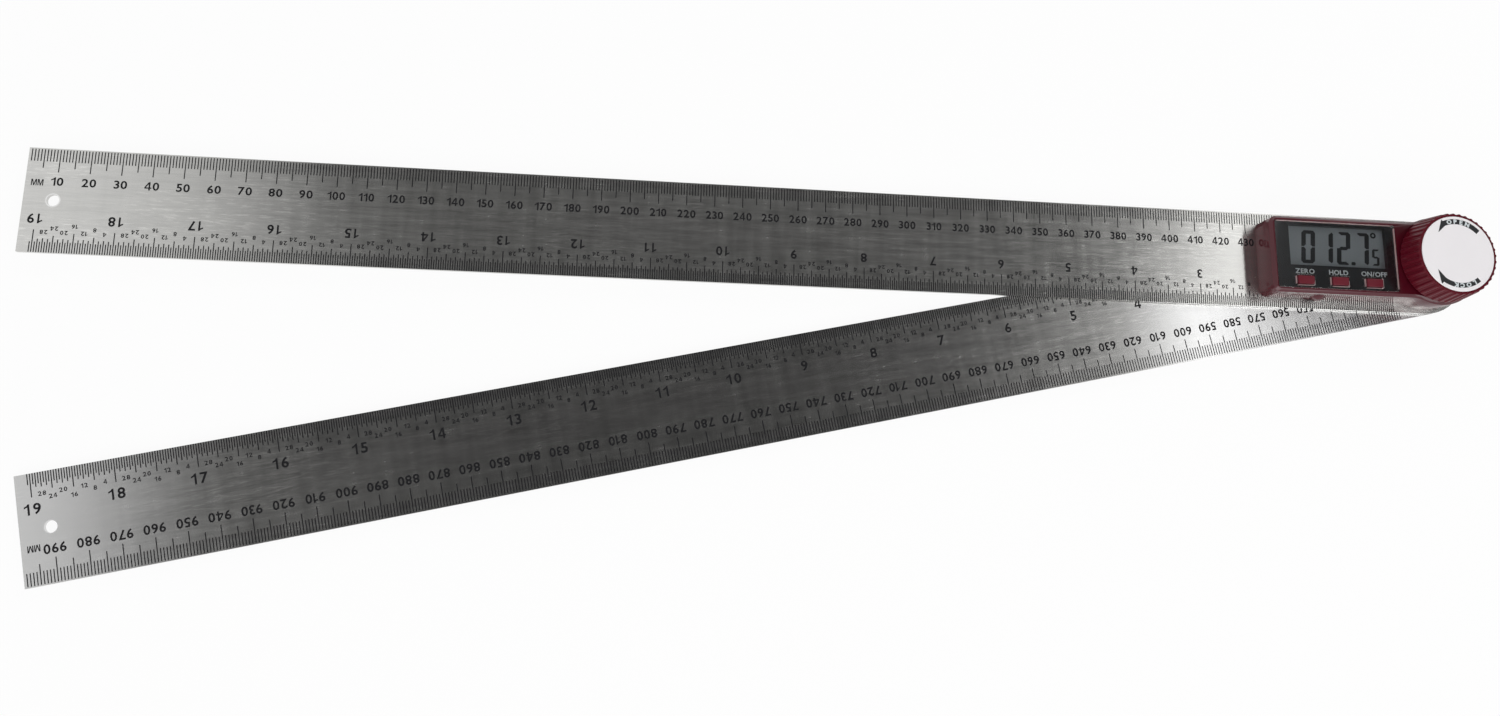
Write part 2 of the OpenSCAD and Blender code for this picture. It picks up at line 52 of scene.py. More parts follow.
camera = bpy.data.objects.new("camera", bpy.data.cameras.new("camera"))
bpy.context.scene.collection.objects.link(camera)
camera_turn = Matrix((CAMERA_RIGHT, CAMERA_UP, CAMERA_BACK)).transposed().to_4x4()
camera.matrix_world = Matrix.Translation(CAMERA_PLACE) @ camera_turn
camera.data.sensor_width = SENSOR_WIDTH
camera.data.lens = LENS
camera.data.clip_start = 0.01
bpy.context.scene.camera = camera
bpy.context.scene.view_settings.view_transform = "Standard"


# ---- Studio ----------------------------------------------------------------
# A white floor, an overhead that is dark straight above and pale towards the
# horizon, two large soft boxes, and a small one that lights the housing's end.
FLOOR_REACH, FLOOR_LEVEL = 3.0, -0.0003
FLOOR_PAINT, FLOOR_SHOWN_WHITE = (0.85, 0.85, 0.85, 1.0), 0.93
OVERHEAD = [(0.0, 0.8), (0.275, 1.0), (0.3, 0.85), (0.335, 0.75), (0.35, 0.25), (0.375, 0.12),
            (0.44, 0.08), (0.56, 0.05), (0.66, 0.06), (0.71, 0.1), (0.725, 0.4), (0.735, 1.5),
            (0.745, 3.0), (0.752, 2.4), (0.76, 0.3), (0.775, 0.1), (0.875, 0.12), (1.0, 0.7)]
OVERHEAD_RISE = (0.15, 0.65)
HORIZON_WHITE = (1.0, 1.0, 1.0, 1.0)


# A value is either another node's output, to link, or a constant
def feed(tree, socket, value):
    if isinstance(value, bpy.types.NodeSocket):
        tree.links.new(value, socket)
    else:
        socket.default_value = value


def add_node(tree, kind, inputs=(), **settings):
    node = tree.nodes.new(kind)
    for setting, value in settings.items():
        setattr(node, setting, value)
    for socket, value in inputs.items() if isinstance(inputs, dict) else enumerate(inputs):
        feed(tree, node.inputs[socket], value)
    return node


def calculate(tree, operation, *values):
    return add_node(tree, "ShaderNodeMath", values, operation=operation).outputs[0]


def map_range(tree, value, span, reach=(0.0, 1.0), curve="LINEAR"):
    return add_node(tree, "ShaderNodeMapRange",
                    {"Value": value, "From Min": span[0], "From Max": span[1],
                     "To Min": reach[0], "To Max": reach[1]},
                    interpolation_type=curve).outputs["Result"]


# A Mix node has one set of sockets for each kind of value, told apart by number
def mix_colors(tree, share, first, second):
    return add_node(tree, "ShaderNodeMix", {0: share, 6: first, 7: second},
                    data_type="RGBA").outputs[2]


def ramp(tree, value, stops):
    node = add_node(tree, "ShaderNodeValToRGB", [value])
    elements = node.color_ramp.elements
    while len(elements) < len(stops):
        elements.new(1.0)
    for element, (place, level) in zip(elements, stops):
        element.position = place
        element.color = (level, level, level, 1.0)
    return node.outputs["Color"]


def place_mesh(name, mesh):
    made = bpy.data.objects.new(name, mesh)
    bpy.context.scene.collection.objects.link(made)
    return made


floor_mesh = bpy.data.meshes.new("floor")
floor_mesh.from_pydata([(x * FLOOR_REACH, y * FLOOR_REACH, FLOOR_LEVEL)
                        for x, y in ((-1, -1), (1, -1), (1, 1), (-1, 1))], [], [(0, 1, 2, 3)])
floor = place_mesh("floor", floor_mesh)
floor_white = bpy.data.materials.new("floor_white")
floor_white.use_nodes = True
floor_tree = floor_white.node_tree
floor_tree.nodes.remove(floor_tree.nodes["Principled BSDF"])
ray = add_node(floor_tree, "ShaderNodeLightPath").outputs
seen = calculate(floor_tree, "MAXIMUM", ray["Is Camera Ray"], ray["Is Glossy Ray"])
seen = calculate(floor_tree, "MAXIMUM", seen, ray["Is Transmission Ray"])
shown_white = calculate(floor_tree, "MULTIPLY", seen, FLOOR_SHOWN_WHITE)
painted = add_node(floor_tree, "ShaderNodeBsdfDiffuse", {"Color": FLOOR_PAINT})
lit = add_node(floor_tree, "ShaderNodeEmission", {"Strength": 1.0})
floor_mix = add_node(floor_tree, "ShaderNodeMixShader",
                     [shown_white, painted.outputs[0], lit.outputs[0]])
feed(floor_tree, floor_tree.nodes["Material Output"].inputs["Surface"], floor_mix.outputs[0])
floor_mesh.materials.append(floor_white)

world = bpy.data.worlds.new("studio")
bpy.context.scene.world = world
world.use_nodes = True
sky_tree = world.node_tree
towards = add_node(sky_tree, "ShaderNodeTexCoord").outputs["Generated"]
towards = add_node(sky_tree, "ShaderNodeSeparateXYZ", [towards]).outputs
bands = ramp(sky_tree, map_range(sky_tree, towards["X"], (-1.0, 1.0)), OVERHEAD)
rise = map_range(sky_tree, towards["Z"], OVERHEAD_RISE, curve="SMOOTHSTEP")
feed(sky_tree, sky_tree.nodes["Background"].inputs["Color"],
     mix_colors(sky_tree, rise, HORIZON_WHITE, bands))


def soft_box(name, place, target, size, power):
    lamp = bpy.data.lights.new(name, "AREA")
    lamp.shape = "RECTANGLE"
    lamp.size, lamp.size_y = size
    lamp.energy = power
    made = bpy.data.objects.new(name, lamp)
    bpy.context.scene.collection.objects.link(made)
    aim = (Vector(target) - Vector(place)).to_track_quat("-Z", "Y").to_matrix().to_4x4()
    made.matrix_world = Matrix.Translation(place) @ aim


soft_box("front_soft_box", (-0.1, -1.1, 0.85), (-0.2, 0, 0), size=(1.6, 0.8), power=10.5)
soft_box("back_soft_box", (0.2, 1.2, 0.7), (-0.1, 0, 0), size=(1.6, 0.6), power=5.5)
soft_box("head_soft_box", (0.64, -0.34, 0.95), (-0.04, 0, 0), size=(0.5, 0.4), power=1.6)


# ---- Pivot spindle and its flange rivets -----------------------------------
# A turned steel spindle whose flange is riveted under the lower rule; it keeps
# the fine rings of the lathe. Four rivet heads are left bright by the press.
MM = 0.001
LATHE_LINE_DEPTH = 0.004 * MM


def new_material(name, roughness, metallic=0.0):
    made = bpy.data.materials.new(name)
    made.use_nodes = True
    shader = made.node_tree.nodes["Principled BSDF"]
    shader.inputs["Roughness"].default_value = roughness
    shader.inputs["Metallic"].default_value = metallic
    return made, made.node_tree, shader


def object_place(tree):
    return add_node(tree, "ShaderNodeTexCoord").outputs["Object"]


def new_group(name, outputs):
    group = bpy.data.node_groups.new(name, "ShaderNodeTree")
    group.interface.new_socket("Vector", in_out="INPUT", socket_type="NodeSocketVector")
    for socket in outputs:
        group.interface.new_socket(socket, in_out="OUTPUT", socket_type="NodeSocketFloat")
    vector = group.nodes.new("NodeGroupInput").outputs["Vector"]
    return group, vector, group.nodes.new("NodeGroupOutput").inputs


def stretched_noise(tree, vector, factors, detail):
    stretch = add_node(tree, "ShaderNodeVectorMath", [vector, factors], operation="MULTIPLY")
    noise = {"Vector": stretch.outputs[0], "Scale": 1.0, "Detail": detail}
    return add_node(tree, "ShaderNodeTexNoise", noise).outputs["Fac"]


# Lines left by an abrasive that runs along X, cloudy bands across them, and
# bright flecks that come in patches
metal_grain, grain_at, grain_out = new_group("metal_grain", ["Fine", "Broad", "Bands", "Flecks"])
for output, factors, detail in (("Fine", (160.0, 2600.0, 2600.0), 2.0),
                                ("Broad", (40.0, 520.0, 520.0), 3.0),
                                ("Bands", (260.0, 24.0, 24.0), 4.0)):
    feed(metal_grain, grain_out[output], stretched_noise(metal_grain, grain_at, factors, detail))
fleck = map_range(metal_grain, stretched_noise(metal_grain, grain_at, (260.0, 1900.0, 1900.0), 4.0),
                  (0.5, 0.72), curve="SMOOTHSTEP")
patch = map_range(metal_grain, stretched_noise(metal_grain, grain_at, (22.0, 60.0, 60.0), 2.0),
                  (0.44, 0.62), curve="SMOOTHSTEP")
feed(metal_grain, grain_out["Flecks"], calculate(metal_grain, "MULTIPLY", fleck, patch))


def put_group(tree, group, vector):
    return add_node(tree, "ShaderNodeGroup", {"Vector": vector}, node_tree=group).outputs


def vary_color(tree, shader, share, dark, light):
    feed(tree, shader.inputs["Base Color"],
         mix_colors(tree, share, (*dark, 1.0), (*light, 1.0)))


def vary_roughness(tree, shader, share, low, high):
    feed(tree, shader.inputs["Roughness"], map_range(tree, share, (0.25, 0.75), (low, high)))


def raise_surface(tree, shader, height, distance, strength, normal=None):
    bump = add_node(tree, "ShaderNodeBump",
                    {"Height": height, "Distance": distance, "Strength": strength})
    if normal is not None:
        feed(tree, bump.inputs["Normal"], normal)
    feed(tree, shader.inputs["Normal"], bump.outputs["Normal"])


def weigh(tree, first, second, share):
    return add_node(tree, "ShaderNodeMix", {0: share, 2: first, 3: second},
                    data_type="FLOAT").outputs[0]


def turned_metal(name, dark, light, roughness):
    made, tree, shader = new_material(name, roughness, 1.0)
    at = add_node(tree, "ShaderNodeSeparateXYZ", [object_place(tree)]).outputs
    flat = add_node(tree, "ShaderNodeCombineXYZ", [at["X"], at["Y"]]).outputs[0]
    from_axis = add_node(tree, "ShaderNodeVectorMath", [flat], operation="LENGTH").outputs["Value"]
    ring = add_node(tree, "ShaderNodeCombineXYZ", [at["X"], from_axis, at["Z"]]).outputs[0]
    grain = put_group(tree, metal_grain, ring)
    vary_color(tree, shader, weigh(tree, grain["Fine"], grain["Broad"], 0.4), dark, light)
    vary_roughness(tree, shader, grain["Fine"], roughness - 0.06, roughness + 0.08)
    raise_surface(tree, shader, grain["Fine"], LATHE_LINE_DEPTH, 0.4)
    return made


def dress(node, material):
    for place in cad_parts[node].material_slots:
        place.material = material


turned_steel = turned_metal("turned_steel", (0.42, 0.42, 0.43), (0.7, 0.7, 0.71), 0.3)
pressed_steel = turned_metal("pressed_steel", (0.5, 0.5, 0.51), (0.66, 0.66, 0.67), 0.24)
dress("pivot_spindle", turned_steel)
dress("flange_rivets", pressed_steel)


# ---- Lower rule ------------------------------------------------------------
# A stainless strip with a round hub end, brushed along its length. Its scales
# and numbers are etched and blackened: inches on one edge, 500 to 1000 mm on
# the other.
ARM_ANGLE = math.radians(12.6)
RULE_LENGTH = 500.0
RULE_EDGE = 18.0
HANG_HOLE = (-490.6 * MM, 0.0, 0.0)
# The hole's rim, the shine ramp and the spans and colour below place painted highlights on the
# rules' steel: a ring round the hanging hole, near the pivot and towards the tip
HOLE_RIM = (2.0 * MM, 2.6 * MM)
RIM_SHINE = [(0.05, 0.0), (0.12, 0.9), (0.35, 0.7), (1.0, 0.0)]
PIVOT_HIGHLIGHT_SPAN = (-130.0 * MM, -85.0 * MM)
TIP_HIGHLIGHT_SPAN = (-430.0 * MM, -495.0 * MM)
PAINTED_HIGHLIGHT_COLOR = (0.9, 0.9, 0.9, 1.0)
BRUSH_LINE_DEPTH, BRUSH_LINE_STRENGTH = 0.006 * MM, 0.25
BRUSH_STREAK, BRUSH_ROUGHNESS = 0.85, (0.19, 0.3)
FLECK_SHARE, BAND_SHARE = 0.35, 0.3


# The strip is never quite flat: lean and bow tip what it mirrors, from the
# pivot to the tip. Its colour is painted brighter near the pivot, towards the tip and in a ring
# round the hole: painted highlights.
def brushed_steel(name, turn, lean, bow, dark, light, pivot_highlight, tip_highlight):
    made, tree, shader = new_material(name, 0.25, 1.0)
    shader.inputs["Anisotropic"].default_value = BRUSH_STREAK
    lay = add_node(tree, "ShaderNodeMapping",
                   {"Vector": object_place(tree), "Rotation": (0.0, 0.0, turn)},
                   vector_type="TEXTURE").outputs[0]
    grain = put_group(tree, metal_grain, lay)
    lines = weigh(tree, grain["Fine"], grain["Broad"], 0.5)
    clouded = weigh(tree, lines, grain["Bands"], BAND_SHARE)
    flecked = calculate(tree, "MULTIPLY_ADD", grain["Flecks"], FLECK_SHARE, clouded)
    plain = mix_colors(tree, flecked, (*dark, 1.0), (*light, 1.0))
    vary_roughness(tree, shader, weigh(tree, lines, grain["Bands"], 0.4), *BRUSH_ROUGHNESS)

    at = add_node(tree, "ShaderNodeSeparateXYZ", [lay]).outputs
    flat = add_node(tree, "ShaderNodeCombineXYZ", [at["X"], at["Y"]]).outputs[0]
    from_hole = add_node(tree, "ShaderNodeVectorMath", [flat, HANG_HOLE],
                         operation="DISTANCE").outputs["Value"]
    # Painted highlight: the base colour is mixed towards bright grey in a ring round the hanging
    # hole, near the pivot and towards the tip
    hole_highlight = ramp(tree, map_range(tree, from_hole, HOLE_RIM), RIM_SHINE)
    by_pivot = map_range(tree, at["X"], PIVOT_HIGHLIGHT_SPAN, curve="SMOOTHSTEP")
    by_tip = map_range(tree, at["X"], TIP_HIGHLIGHT_SPAN, (0.0, tip_highlight), "SMOOTHSTEP")
    painted_highlight = calculate(tree, "MULTIPLY_ADD", by_pivot, pivot_highlight,
                     calculate(tree, "MAXIMUM", hole_highlight, by_tip))
    feed(tree, shader.inputs["Base Color"], mix_colors(tree, painted_highlight, plain, PAINTED_HIGHLIGHT_COLOR))

    slope = calculate(tree, "MULTIPLY_ADD", at["X"], bow, lean)
    sag = calculate(tree, "MULTIPLY", slope, at["X"])
    tilt = add_node(tree, "ShaderNodeBump", {"Height": sag, "Distance": 1.0})
    raise_surface(tree, shader, grain["Broad"], BRUSH_LINE_DEPTH, BRUSH_LINE_STRENGTH,
                  tilt.outputs["Normal"])
    across = add_node(tree, "ShaderNodeCombineXYZ", [-math.sin(turn), math.cos(turn)])
    tangent = add_node(tree, "ShaderNodeVectorTransform", [across.outputs[0]],
                       vector_type="VECTOR", convert_from="OBJECT", convert_to="WORLD")
    feed(tree, shader.inputs["Tangent"], tangent.outputs[0])
    return made


ETCH_ROUGHNESS, ETCH_GLOSS = 0.65, 0.2
ETCH_GRAIN_DEPTH = 0.004 * MM
etched_black, etch_tree, etch_shader = new_material("etched_black", ETCH_ROUGHNESS)
etch_shader.inputs["Specular IOR Level"].default_value = ETCH_GLOSS
etch_at = object_place(etch_tree)
vary_color(etch_tree, etch_shader, stretched_noise(etch_tree, etch_at, (2500.0,) * 3, 3.0),
           (0.002, 0.002, 0.003), (0.012, 0.012, 0.014))
raise_surface(etch_tree, etch_shader, stretched_noise(etch_tree, etch_at, (9000.0,) * 3, 2.0),
              ETCH_GRAIN_DEPTH, 0.3)


def new_geometry(name, inputs):
    group = bpy.data.node_groups.new(name, "GeometryNodeTree")
    group.interface.new_socket("Geometry", in_out="OUTPUT", socket_type="NodeSocketGeometry")
    for socket, kind in inputs:
        group.interface.new_socket(socket, in_out="INPUT", socket_type="NodeSocket" + kind)
    given = group.nodes.new("NodeGroupInput").outputs
    return group, given, group.nodes.new("NodeGroupOutput").inputs[0]


# One etched scale: a line of marks whose length follows their number. A mark
# is as long as the longest step that divides its number.
STEPS = ["A", "B", "C", "D", "E"]
scale_tree, given, scale_out = new_geometry(
    "rule_scale",
    [("First Mark", "Int"), ("Marks", "Int"), ("Pitch", "Float"), ("Mark Width", "Float"),
     ("Mark Height", "Float"), ("Short Length", "Float"), ("Ink", "Material")]
    + [(label + step, kind) for step in STEPS
       for label, kind in (("Every ", "Int"), ("Length ", "Float"))])
start_x = calculate(scale_tree, "MULTIPLY", given["First Mark"], given["Pitch"])
start = add_node(scale_tree, "ShaderNodeCombineXYZ", [start_x])
offset = add_node(scale_tree, "ShaderNodeCombineXYZ", [given["Pitch"]])
line = add_node(scale_tree, "GeometryNodeMeshLine",
                {"Count": given["Marks"], "Start Location": start.outputs[0],
                 "Offset": offset.outputs[0]}, mode="OFFSET")
place_in_line = add_node(scale_tree, "GeometryNodeInputIndex").outputs[0]
number = calculate(scale_tree, "ADD", place_in_line, given["First Mark"])
length = given["Short Length"]
for step in STEPS:
    left_over = calculate(scale_tree, "FLOORED_MODULO", number, given["Every " + step])
    divides = calculate(scale_tree, "LESS_THAN", left_over, 0.5)
    reach = calculate(scale_tree, "MULTIPLY", divides, given["Length " + step])
    length = calculate(scale_tree, "MAXIMUM", length, reach)
mark_size = add_node(scale_tree, "ShaderNodeCombineXYZ",
                     [given["Mark Width"], length, given["Mark Height"]])
mark = add_node(scale_tree, "GeometryNodeMeshCube")
hung_mark = add_node(scale_tree, "GeometryNodeTransform",
                     {"Geometry": mark.outputs["Mesh"], "Translation": (0.0, -0.5, 0.0)})
marks = add_node(scale_tree, "GeometryNodeInstanceOnPoints",
                 {"Points": line.outputs[0], "Instance": hung_mark.outputs[0],
                  "Scale": mark_size.outputs[0]})
solid_marks = add_node(scale_tree, "GeometryNodeRealizeInstances", [marks.outputs[0]])
inked = add_node(scale_tree, "GeometryNodeSetMaterial",
                 {"Geometry": solid_marks.outputs[0], "Material": given["Ink"]})
feed(scale_tree, scale_out, inked.outputs[0])


def evaluated_mesh(made):
    bpy.context.view_layer.update()
    depsgraph = bpy.context.evaluated_depsgraph_get()
    return bpy.data.meshes.new_from_object(made.evaluated_get(depsgraph))


def run_tree(name, tree, values):
    made = place_mesh(name, bpy.data.meshes.new(name))
    modifier = made.modifiers.new("made", "NODES")
    modifier.node_group = tree
    for item in tree.interface.items_tree:
        if item.in_out == "INPUT" and item.name in values:
            modifier[item.identifier] = values[item.name]
    mesh = evaluated_mesh(made)
    made.modifiers.remove(modifier)
    made.data = mesh
    mesh.name = name
    return made


# The scales in mm: where the marks hang, their pitch, the length of the short
# marks, and how long each second, fifth, tenth mark and so on is
INCH = 25.4
MM_EDGE, MM_PITCH, MM_SHORT, MM_STEPS = 17.6, 1.0, 4.2, [(5, 6.5), (10, 7.9)]
INCH_PITCH, INCH_SHORT = INCH / 32, 3.6
INCH_STEPS = [(2, 4.6), (4, 4.8), (8, 5.8), (16, 6.7), (32, 7.7)]
MM_MARKS, INCH_MARKS = 487, 610
MARK_WIDTH, MARK_HEIGHT = 0.33, 0.04
half_turn = Matrix.Rotation(math.pi, 4, "Z")


def shift(x, y, z):
    return Matrix.Translation((x * MM, y * MM, z * MM))


def etched_scale(name, body, place, pitch, first, count, short, steps):
    values = {"First Mark": first, "Marks": count, "Pitch": pitch * MM,
              "Mark Width": MARK_WIDTH * MM, "Mark Height": MARK_HEIGHT * MM,
              "Short Length": short * MM, "Ink": etched_black}
    for label, (every, length) in zip(STEPS, steps + [(1, 0.0)] * (len(STEPS) - len(steps))):
        values["Every " + label] = every
        values["Length " + label] = length * MM
    made = run_tree(name, scale_tree, values)
    made.data.transform(place)
    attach(made, body)


# Letters and figures: each is filled once, then laid down as a thin plate. The
# 1, 4 and M have the flag and the sharp corners of the etched ones.
DRAWN = {
    "1": [[(0.27, 0), (0.44, 0), (0.44, 1), (0.32, 1), (0.2, 0.86), (0, 0.77), (0, 0.62),
           (0.27, 0.74)]],
    "4": [[(0.4, 0), (0.56, 0), (0.56, 0.21), (0.69, 0.21), (0.69, 0.36), (0.56, 0.36),
           (0.56, 1), (0.38, 1), (0, 0.37), (0, 0.21), (0.4, 0.21)],
          [(0.15, 0.36), (0.4, 0.75), (0.4, 0.36)]],
    "M": [[(0, 0), (0.15, 0), (0.15, 0.76), (0.37, 0), (0.51, 0), (0.73, 0.76), (0.73, 0),
           (0.88, 0), (0.88, 1), (0.65, 1), (0.44, 0.28), (0.23, 1), (0, 1)]],
}
letter_meshes = {}


def add_loop(curve, points):
    spline = curve.splines.new("POLY")
    spline.points.add(len(points) - 1)
    for point, (x, y) in zip(spline.points, points):
        point.co = (x, y, 0.0, 1.0)
    spline.use_cyclic_u = True


def letter_mesh(letter, weight, resolution, widen):
    key = (letter, weight, resolution, widen)
    if key in letter_meshes:
        return letter_meshes[key]
    drawn = DRAWN.get(letter)
    curve = bpy.data.curves.new("letter", "CURVE" if drawn else "FONT")
    if drawn:
        curve.dimensions = "2D"
        for loop in drawn:
            add_loop(curve, loop)
    else:
        curve.body = letter
        curve.offset = weight
        curve.resolution_u = resolution
    curve.fill_mode = "BOTH"
    curve.extrude = 0.1
    made = place_mesh("letter", curve)
    mesh = evaluated_mesh(made)
    points = [vertex.co.copy() for vertex in mesh.vertices]
    low_x, high_x = (pick(point.x for point in points) for pick in (min, max))
    low_y, high_y = (pick(point.y for point in points) for pick in (min, max))
    tall = high_y - low_y
    wide = tall / widen
    letter_meshes[key] = ([((point.x - low_x) / wide, (point.y - low_y) / tall - 0.5, point.z > 0)
                           for point in points],
                          [tuple(face.vertices) for face in mesh.polygons],
                          (high_x - low_x) / wide)
    bpy.data.objects.remove(made)
    bpy.data.meshes.remove(mesh)
    bpy.data.curves.remove(curve)
    return letter_meshes[key]


# A word is added to plates, a list of points and a list of faces in mm
def set_word(plates, text, height, spot, turn, levels, weight=0.022, resolution=3, widen=1.12,
             space=0.12):
    points, faces = plates
    letters = [letter_mesh(letter, weight, resolution, widen) for letter in text]
    along = -(sum(width for _, _, width in letters) + space * (len(text) - 1)) / 2
    spin = Matrix.Rotation(turn, 2)
    for outline, letter_faces, width in letters:
        first = len(points)
        for x, y, is_top in outline:
            flat = spin @ Vector(((along + x) * height, y * height))
            points.append((spot[0] + flat.x, spot[1] + flat.y, levels[is_top]))
        faces.extend(tuple(first + corner for corner in face) for face in letter_faces)
        along += width + space


MERGE_WITHIN = 1e-7


def clean_mesh(mesh, reach, work=None):
    bm = bmesh.new()
    bm.from_mesh(mesh)
    bmesh.ops.remove_doubles(bm, verts=bm.verts, dist=reach)
    if work:
        work(bm)
    bm.to_mesh(mesh)
    bm.free()


def plates_piece(name, plates, material, body, place=None):
    points, faces = plates
    mesh = bpy.data.meshes.new(name)
    mesh.from_pydata([(x * MM, y * MM, z * MM) for x, y, z in points], [], faces)
    clean_mesh(mesh, MERGE_WITHIN)
    if place is not None:
        mesh.transform(place)
    mesh.materials.append(material)
    made = place_mesh(name, mesh)
    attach(made, body)


# The small figures that count thirty-seconds of an inch, and their rows
SMALL_ROWS = {4: 11.05, 8: 9.7, 12: 11.05, 16: 8.8, 20: 11.05, 24: 9.7, 28: 11.05}
SMALL_HEIGHT, SMALL_TIP_LIMIT = 1.5, -494.0
INCH_ROW, INCH_NUDGE = 6.5, 0.1
UNIT_SPOT, UNIT_HEIGHT = (-496.2, 6.0), 2.2
ETCH_DEPTH, ETCH_RISE = 0.01, 0.02


# The inches stand on the edge across from the millimetres, half a turn round
def etched_numbers(name, body, deck, place, mm_side, mm_numbers, mm_row, mm_height,
                   inches, inch_height, last_x):
    plates = ([], [])
    levels = (deck - ETCH_DEPTH, deck + ETCH_RISE)
    inch_side = -mm_side
    mm_turn, inch_turn = (0.0 if side > 0 else math.pi for side in (mm_side, inch_side))
    for figure, x in mm_numbers:
        set_word(plates, str(figure), mm_height, (x, mm_row * mm_side), mm_turn, levels,
                 widen=1.12 if figure < 100 else 1.02)
    set_word(plates, "MM", UNIT_HEIGHT, (UNIT_SPOT[0], UNIT_SPOT[1] * mm_side), mm_turn, levels,
             widen=0.92)
    for figure in inches:
        spot = (-INCH * (figure + 0.5) - INCH_NUDGE, INCH_ROW * inch_side)
        set_word(plates, str(figure), inch_height, spot, inch_turn, levels, widen=1.04, space=0.3)
    for inch in range(20):
        for part, row in SMALL_ROWS.items():
            x = -INCH * (inch + 0.5 + part / 32)
            if SMALL_TIP_LIMIT < x < last_x:
                set_word(plates, str(part), SMALL_HEIGHT, (x, row * inch_side), inch_turn, levels,
                         resolution=2, widen=1.1, space=0.2)
    plates_piece(name, plates, etched_black, body, place)


LOWER_DECK, LOWER_FIRST_MM = 2.4, 13
lower_place = Matrix.Rotation(ARM_ANGLE, 4, "Z")
# Painted shade and light: the lower rule's steel is given darker colours than the upper rule's for
# the same steel, and strong painted highlights near the pivot and the tip
lower_steel_painted_darker = brushed_steel("lower_steel_painted_darker", ARM_ANGLE, lean=-0.0035, bow=0.045,
                            dark=(0.24, 0.24, 0.235), light=(0.53, 0.525, 0.51),
                            pivot_highlight=0.8, tip_highlight=0.6)
dress("lower_blade", lower_steel_painted_darker)
etched_scale("lower_mm_scale", "lower_arm",
             lower_place @ shift(0, -MM_EDGE, LOWER_DECK) @ half_turn,
             MM_PITCH, LOWER_FIRST_MM, MM_MARKS, MM_SHORT, MM_STEPS)
etched_scale("lower_inch_scale", "lower_arm",
             lower_place @ shift(-INCH / 2, RULE_EDGE, LOWER_DECK),
             -INCH_PITCH, 0, INCH_MARKS, INCH_SHORT, INCH_STEPS)
etched_numbers("lower_numbers", "lower_arm", LOWER_DECK, lower_place, mm_side=-1,
               mm_numbers=[(k, RULE_LENGTH - k) for k in range(530, 1000, 10)], mm_row=6.9,
               mm_height=3.15, inches=range(1, 20), inch_height=3.6, last_x=-24.0)


# ---- Friction washer -------------------------------------------------------
# A thin waxy plastic washer on the spindle that keeps the two rules apart and
# lets them turn without scratching each other.
def srgb(red, green, blue):
    def linear(value):
        value = value / 255
        return value / 12.92 if value <= 0.04045 else ((value + 0.055) / 1.055) ** 2.4
    return (linear(red), linear(green), linear(blue))


# Moulding texture, handling smudges and hair scratches for the plastic pieces
handling, touched_at, touch_out = new_group("handling", ["Texture", "Smudges", "Scratches"])
for output, factor, detail in (("Texture", 2600.0, 2.0), ("Smudges", 70.0, 4.0)):
    feed(handling, touch_out[output], stretched_noise(handling, touched_at, (factor,) * 3, detail))
skew = add_node(handling, "ShaderNodeMapping", {"Vector": touched_at, "Rotation": (0.0, 0.0, 0.6)})
hair = stretched_noise(handling, skew.outputs[0], (60.0, 2400.0, 900.0), 1.0)
feed(handling, touch_out["Scratches"], map_range(handling, hair, (0.69, 0.74)))
MOULD_TEXTURE_DEPTH = 0.012 * MM
SCRATCH_SHARE, COAT_ROUGHNESS = 0.35, 0.08


def moulded(name, color, roughness, coat=0.0, spread=0.12, texture=0.3, gloss=0.5):
    made, tree, shader = new_material(name, roughness)
    shader.inputs["Specular IOR Level"].default_value = gloss
    shader.inputs["Coat Weight"].default_value = coat
    shader.inputs["Coat Roughness"].default_value = COAT_ROUGHNESS
    touched = put_group(tree, handling, object_place(tree))
    vary_color(tree, shader, touched["Smudges"],
               [c * (1 - spread) for c in color], [min(1.0, c * (1 + spread)) for c in color])
    worn = calculate(tree, "MULTIPLY_ADD", touched["Scratches"], SCRATCH_SHARE,
                     touched["Smudges"])
    vary_roughness(tree, shader, worn, roughness - 0.04, roughness + 0.1)
    raise_surface(tree, shader, touched["Texture"], MOULD_TEXTURE_DEPTH, texture)
    return made


dress("friction_washer", moulded("waxy_white", srgb(232, 230, 222), 0.45))


# ---- Upper rule ------------------------------------------------------------
# The same stainless strip as the lower rule, with its steel colours painted lighter than the lower
# rule's as painted light: millimetres from its tip on the far edge, inches from the pivot on the
# near edge.
UPPER_DECK, UPPER_FIRST_MM = 4.0, 1
upper_steel_painted_lighter = brushed_steel("upper_steel_painted_lighter", 0.0, lean=0.01, bow=0.0104,
                            dark=(0.36, 0.36, 0.35), light=(0.78, 0.775, 0.75),
                            pivot_highlight=0.0, tip_highlight=0.1)
dress("upper_blade", upper_steel_painted_lighter)
etched_scale("upper_mm_scale", "upper_arm",
             shift(-RULE_LENGTH, MM_EDGE, UPPER_DECK),
             MM_PITCH, UPPER_FIRST_MM, MM_MARKS, MM_SHORT, MM_STEPS)
etched_scale("upper_inch_scale", "upper_arm",
             shift(-INCH / 2, -RULE_EDGE, UPPER_DECK) @ half_turn,
             INCH_PITCH, 0, INCH_MARKS, INCH_SHORT, INCH_STEPS)
etched_numbers("upper_numbers", "upper_arm", UPPER_DECK, None, mm_side=1,
               mm_numbers=[(k, k - RULE_LENGTH) for k in range(10, 440, 10)], mm_row=6.5,
               mm_height=2.9, inches=range(3, 20), inch_height=3.35, last_x=-67.0)


# ---- Pivot stack inside the housing ----------------------------------------
# Insulating base plate, wave washer and blackened retaining ring on the
# spindle, and the encoder's rotor disc, which turns with the lower rule.
dress("base_plate", moulded("base_black", srgb(34, 34, 36), 0.5))
dress("wave_washer", pressed_steel)
dress("retaining_ring",
      turned_metal("blackened_steel", (0.06, 0.06, 0.065), (0.14, 0.14, 0.15), 0.35))
board_green = moulded("board_green", srgb(30, 92, 56), 0.32, coat=0.4)
dress("rotor_disc", board_green)


